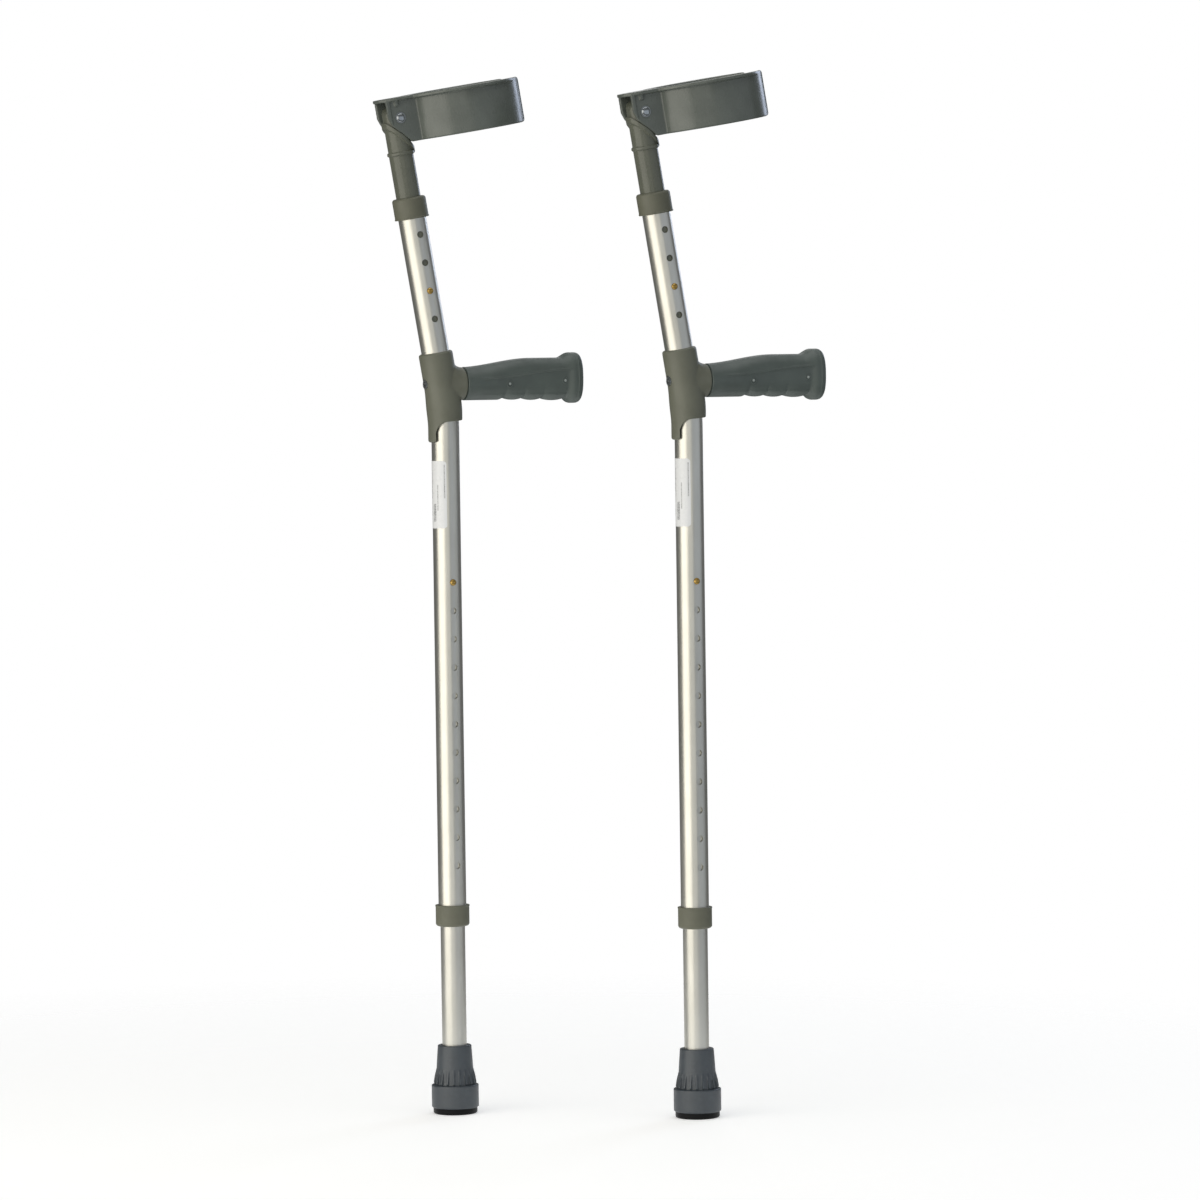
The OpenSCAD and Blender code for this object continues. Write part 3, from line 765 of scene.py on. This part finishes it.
def cheek_outline():
    """A cheek from the side, with its lower back corner cut for the tilt."""
    reach = LEDGE - 0.3
    back, front = -STEM_R - 0.5, 20
    top = ROOF_Z + 1
    lean = math.radians(200)
    points = [(back, top), (back, (reach + back * -math.cos(lean)) / math.sin(lean))]
    for k in range(6):
        a = math.radians(200 + 5 * k)
        points.append((reach * math.cos(a), reach * math.sin(a)))
    points += [(-BAND_DOWN - reach * math.sqrt(2), BAND_DOWN), (front, BAND_DOWN), (front, top)]
    return points


def cuff():
    """The moulded cuff: band, lip, roof over the post, cheeks with edge ribs and small gussets."""
    parts = band()
    roof_r, roof_front = 16.8, 18.5
    roof = [(roof_r * math.cos(a), roof_r * math.sin(a))
            for a in (math.radians(90 + 180 * k / 32) for k in range(33))]
    roof += [(roof_front, -roof_r), (roof_front, roof_r)]
    parts.append(prism("roof", roof, ROOF_Z + 0.1, BAND_UP, AT_PIVOT))
    top = ROOF_Z + 1
    edge_rib = [(-11.5, top), (-11.5, 1.5), (-9.9, -2.6), (-8.2, -5.4), (-8.2, top)]
    gusset = [(-3.6, top), (-3.6, 10.6), (-0.4, 10.6), (-0.4, top)]
    for side in (1, -1):
        for name, outline, inner, outer in (
                ("cheek", cheek_outline(), CHEEK_IN, CHEEK_OUT),
                ("edge_rib", edge_rib, CHEEK_OUT - 1, CHEEK_OUT + 0.8),
                ("gusset", gusset, CHEEK_OUT - 1, CHEEK_OUT + 1.9)):
            parts.append(prism(name, outline, *sorted((-side * inner, -side * outer)), PIVOT_SIDE))
    piece = mould("cuff_skin", parts, 0.55, 8)
    return combine(piece, [pivot_bore(RIVET_R + 0.1)], "DIFFERENCE")


def pivot_bore(radius):
    """The tool that cuts the rivet's hole."""
    return lathe("pivot_bore", [(0, -30), (radius, -30), (radius, 30), (0, 30)], PIVOT_SIDE, 32)


def cuff_stem():
    """The moulded stem: a tube with a stop ring, a sloping ledge and the flattened post."""
    stem_low = size_mm("left_cuff_stem")[0]
    low = (stem_low.z - BEND_Z + STEM_R * math.sin(LEAN)) / math.cos(LEAN)
    ring_r = STEM_R + 1.25
    tube = lathe("stem_tube", rounded([
        (STEM_BORE_R, low, 0.4), (STEM_R, low, 0.8), (STEM_R, STOP_U - 1.9, 0.5),
        (ring_r, STOP_U - 1.1, 0.6), (ring_r, STOP_U + 1.1, 0.6), (STEM_R, STOP_U + 1.9, 0.5),
        (STEM_R, STOP_U + 6, 0), (0, STOP_U + 6, 0), (0, STOP_U - 6, 0),
        (STEM_BORE_R, STOP_U - 6, 0)]), UPPER)
    foot = STOP_U - PIVOT_U
    top = 14
    drop = LEDGE * math.sqrt(2)
    shaft = lathe("shaft", [(0, foot - 2), (STEM_R, foot - 2), (STEM_R, top), (0, top)], AT_PIVOT, 128)
    below = [(-14, foot - 4), (14, foot - 4), (14, -drop - 14), (-14, -drop + 14)]
    combine(shaft, [prism("below", below, -30, 30, PIVOT_SIDE)], "INTERSECT")
    post = lathe("post", [(0, foot), (STEM_R, foot), (STEM_R, top), (0, top)], AT_PIVOT, 128)
    arch = [(-STEM_R - 1, foot - 1), (STEM_R + 1, foot - 1), (STEM_R + 1, 0)]
    arch += [(STEM_R * math.cos(a), STEM_R * math.sin(a)) for a in (math.pi * k / 32 for k in range(33))]
    arch += [(-STEM_R - 1, 0)]
    post_half = 10.3
    combine(post, [prism("arch", arch, -post_half, post_half, PIVOT_SIDE)], "INTERSECT")
    slope = [(-14, 14 - drop), (14, -14 - drop), (14, -19 - drop), (-14, 9 - drop)]
    ledge = prism("ledge", slope, -14, 14, PIVOT_SIDE)
    ledge_r = 12.9
    trim = lathe("ledge_round", [(0, foot - 8), (ledge_r, foot - 8), (ledge_r, top), (0, top)], AT_PIVOT, 96)
    combine(ledge, [trim], "INTERSECT")
    head = mould("stem_head", [shaft, post, ledge], 0.4, 3)
    combine(head, [pivot_bore(RIVET_R + 0.08)], "DIFFERENCE")
    return join("stem_skin", [tube, head])


def rivet():
    """The pivot rivet: a pin with two domed heads."""
    under_head = CHEEK_OUT + 0.6
    head_r, dome = 3.9, 1.15
    outline = [(0, 0), (RIVET_R, 0), (RIVET_R, under_head), (head_r, under_head), (3.95, under_head + 0.3)]
    for k in range(8):
        a = math.radians(8 + 9 * k)
        outline.append((head_r * math.cos(a), under_head + 0.35 + dome * math.sin(a)))
    outline.append((0, under_head + 0.35 + dome))
    parts = [lathe("head", outline, AT_PIVOT @ Matrix.Rotation(side * math.pi / 2, 4, "X"), 64)
             for side in (1, -1)]
    return join("rivet_body", parts)


# ---- Building and placing ----


def smooth(piece, angle=35):
    """Shades a piece smooth but for edges sharper than the angle."""
    piece.data.shade_smooth()
    piece.data.set_sharp_from_angle(angle=math.radians(angle))


def place_pair(name, made, node, body, material=None):
    """Puts a shape on both crutches, each copy riding on its body in place of its CAD node."""
    if material is not None:
        made.data.materials.clear()
        made.data.materials.append(material)
    smooth(made)
    for side in SIDES:
        piece = made if side == "left" else bpy.data.objects.new(name, made.data)
        if side == "right":
            bpy.context.scene.collection.objects.link(piece)
        piece.name = f"{side}_{name}"
        piece.location = OFFSET[side]
        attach(piece, body.format(side=side))
        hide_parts(f"{side}_{node}")


def coat_nodes(names, material):
    """Gives CAD nodes of both crutches their material."""
    for side in SIDES:
        for name in names:
            node = frame["nodes"][f"{side}_{name}"]
            node.data.materials.clear()
            node.data.materials.append(material)


LEG_HOLE = Matrix.Translation((0, 0, LEG_HOLE_Z))
CUFF_HOLE = UPPER @ Matrix.Translation((0, 0, BUTTON_U))
LOWER_END = Matrix.Translation((0, 0, COLLAR_LOW.z))
UPPER_END = UPPER @ Matrix.Translation((0, 0, TUBE_TOP_U + COLLAR_FLOOR)) @ Matrix.Rotation(math.pi, 4, "X")

place_pair("ferrule_moulding", ferrule(), "ferrule", "legs")
place_pair("lower_collar_moulding", collar("collar_low", LOWER_END), "lower_collar", "{side}_main",
           COLLAR_NYLON)
place_pair("upper_collar_moulding", collar("collar_high", UPPER_END), "upper_collar", "{side}_main",
           COLLAR_NYLON)
place_pair("leg_button_turned", snap_button("button_low", STEM_R - TUBE_WALL, LEG_HOLE), "leg_button",
           "{side}_leg_catch", BUTTON_BRASS)
place_pair("cuff_button_turned", snap_button("button_high", STEM_BORE_R, CUFF_HOLE), "cuff_button",
           "{side}_cuff_catch", BUTTON_BRASS)
place_pair("label_sticker", label(), "label", "{side}_main", LABEL_PAPER)
place_pair("bracket_moulding", bracket(), "handle_bracket", "{side}_main",
           BRACKET_NYLON)
place_pair("grip_moulding", grip(), "grip", "{side}_main")
place_pair("stem_moulding", cuff_stem(), "cuff_stem", "{side}_stem", STEM_NYLON)
place_pair("cuff_moulding", cuff(), "cuff", "{side}_cuff_top", CUFF_PLASTIC)
place_pair("rivet_set", rivet(), "cuff_rivet", "{side}_cuff_top", RIVET_STEEL)

coat_nodes(["main_tube"], MAIN_ALUMINIUM)
coat_nodes(["leg_tube"], LEG_ALUMINIUM)
coat_nodes(["handle_screw", "handle_nut", "ferrule_washer", "rivet_washers"], ZINC_STEEL)
coat_nodes(["leg_spring_clip", "cuff_spring_clip"], SPRING_STEEL)

# ---- Camera, floor and light ----


def seen_from(azimuth, elevation):
    """The direction from the pair toward a place at an azimuth and elevation, in radians."""
    level = math.cos(elevation)
    return Vector((math.sin(azimuth) * level, -math.cos(azimuth) * level, math.sin(elevation)))


def aim(thing, where, target, roll=0.0):
    """Points a camera or a light from where to target."""
    look = (Vector(target) - Vector(where)).to_track_quat("-Z", "Y").to_matrix().to_4x4()
    thing.matrix_world = Matrix.Translation(where) @ look @ Matrix.Rotation(roll, 4, "Z")


AZIMUTH, ELEVATION, ROLL = math.radians(-25), math.radians(2.4), math.radians(-0.8)
DISTANCE = 4.7
RIGHT = Vector((math.cos(AZIMUTH), math.sin(AZIMUTH), 0))
TARGET = RIGHT * 0.1364 + Vector((0, 0, 0.46))

camera = bpy.data.objects.new("camera", bpy.data.cameras.new("camera"))
bpy.context.scene.collection.objects.link(camera)
camera.data.lens = 157.3
camera.data.sensor_width = 36
camera.data.clip_end = 50
aim(camera, TARGET + seen_from(AZIMUTH, ELEVATION) * DISTANCE, TARGET, ROLL)
bpy.context.scene.camera = camera
bpy.context.scene.view_settings.view_transform = "Standard"


PAIR_MIDDLE = Vector((0.08, -0.06, 0.5))


def soft_light(name, azimuth, elevation, distance, size, power, colour):
    """A rectangular softbox that points at the middle of the pair."""
    lamp = bpy.data.lights.new(name, "AREA")
    lamp.shape = "RECTANGLE"
    lamp.size, lamp.size_y = size
    lamp.energy = power
    lamp.color = hex_rgb(colour)[:3]
    made = bpy.data.objects.new(name, lamp)
    bpy.context.scene.collection.objects.link(made)
    away = seen_from(math.radians(azimuth), math.radians(elevation))
    aim(made, PAIR_MIDDLE + distance * away, PAIR_MIDDLE)


soft_light("key", -74, 4, 2.6, (3.2, 3.0), 54, "#fffaf0")
soft_light("sweep", -20, 4, 5.6, (3.4, 3.6), 30, "#fbfaf6")
soft_light("fill", 38, 2, 3.0, (4.4, 1.8), 11.5, "#e6eefb")
soft_light("rim", 121, 21, 3.0, (1.0, 1.5), 12, "#dbe7ff")
soft_light("top", 0, 82, 2.4, (2.6, 2.6), 28, "#ffffff")
soft_light("back", 150, 35, 3.0, (1.2, 1.6), 6, "#ffffff")

floor_mesh = bpy.data.meshes.new("floor")
FLOOR = [(-1.6, -1.6, 0), (1.8, -1.6, 0), (1.8, 1.6, 0), (-1.6, 1.6, 0)]
floor_mesh.from_pydata(FLOOR, [], [(0, 1, 2, 3)])
floor = bpy.data.objects.new("floor", floor_mesh)
bpy.context.scene.collection.objects.link(floor)
floor_paint, floor_tree, floor_place = new_material("pale_floor")
floor_far = add(floor_tree, "ShaderNodeVectorMath", {0: floor_place}, operation="LENGTH")
floor_fade = add(floor_tree, "ShaderNodeMapRange", {
    "Value": floor_far.outputs["Value"], "From Min": 0.35, "From Max": 1.1, "To Min": 1.0, "To Max": 0.0})
floor_white = add(floor_tree, "ShaderNodeBsdfPrincipled", {
    "Base Color": hex_rgb("#f4f4f2"), "Roughness": 0.8, "Emission Color": hex_rgb("#ffffff"),
    "Emission Strength": 0.42})
floor_clear = add(floor_tree, "ShaderNodeBsdfTransparent")
floor_mix = add(floor_tree, "ShaderNodeMixShader", {"Fac": floor_fade, 1: floor_clear, 2: floor_white})
add(floor_tree, "ShaderNodeOutputMaterial", {"Surface": floor_mix})
floor.data.materials.append(floor_paint)

world = bpy.data.worlds.new("studio")
world.use_nodes = True
world.node_tree.nodes.clear()
bpy.context.scene.world = world
seen = add(world.node_tree, "ShaderNodeLightPath")
room = add(world.node_tree, "ShaderNodeBackground", {"Color": hex_rgb("#c9cbca"), "Strength": 0.24})
paper = add(world.node_tree, "ShaderNodeBackground", {"Color": (1, 1, 1, 1), "Strength": 1.0})
sky = add(world.node_tree, "ShaderNodeMixShader", {
    "Fac": seen.outputs["Is Camera Ray"], 1: room, 2: paper})
add(world.node_tree, "ShaderNodeOutputWorld", {"Surface": sky})
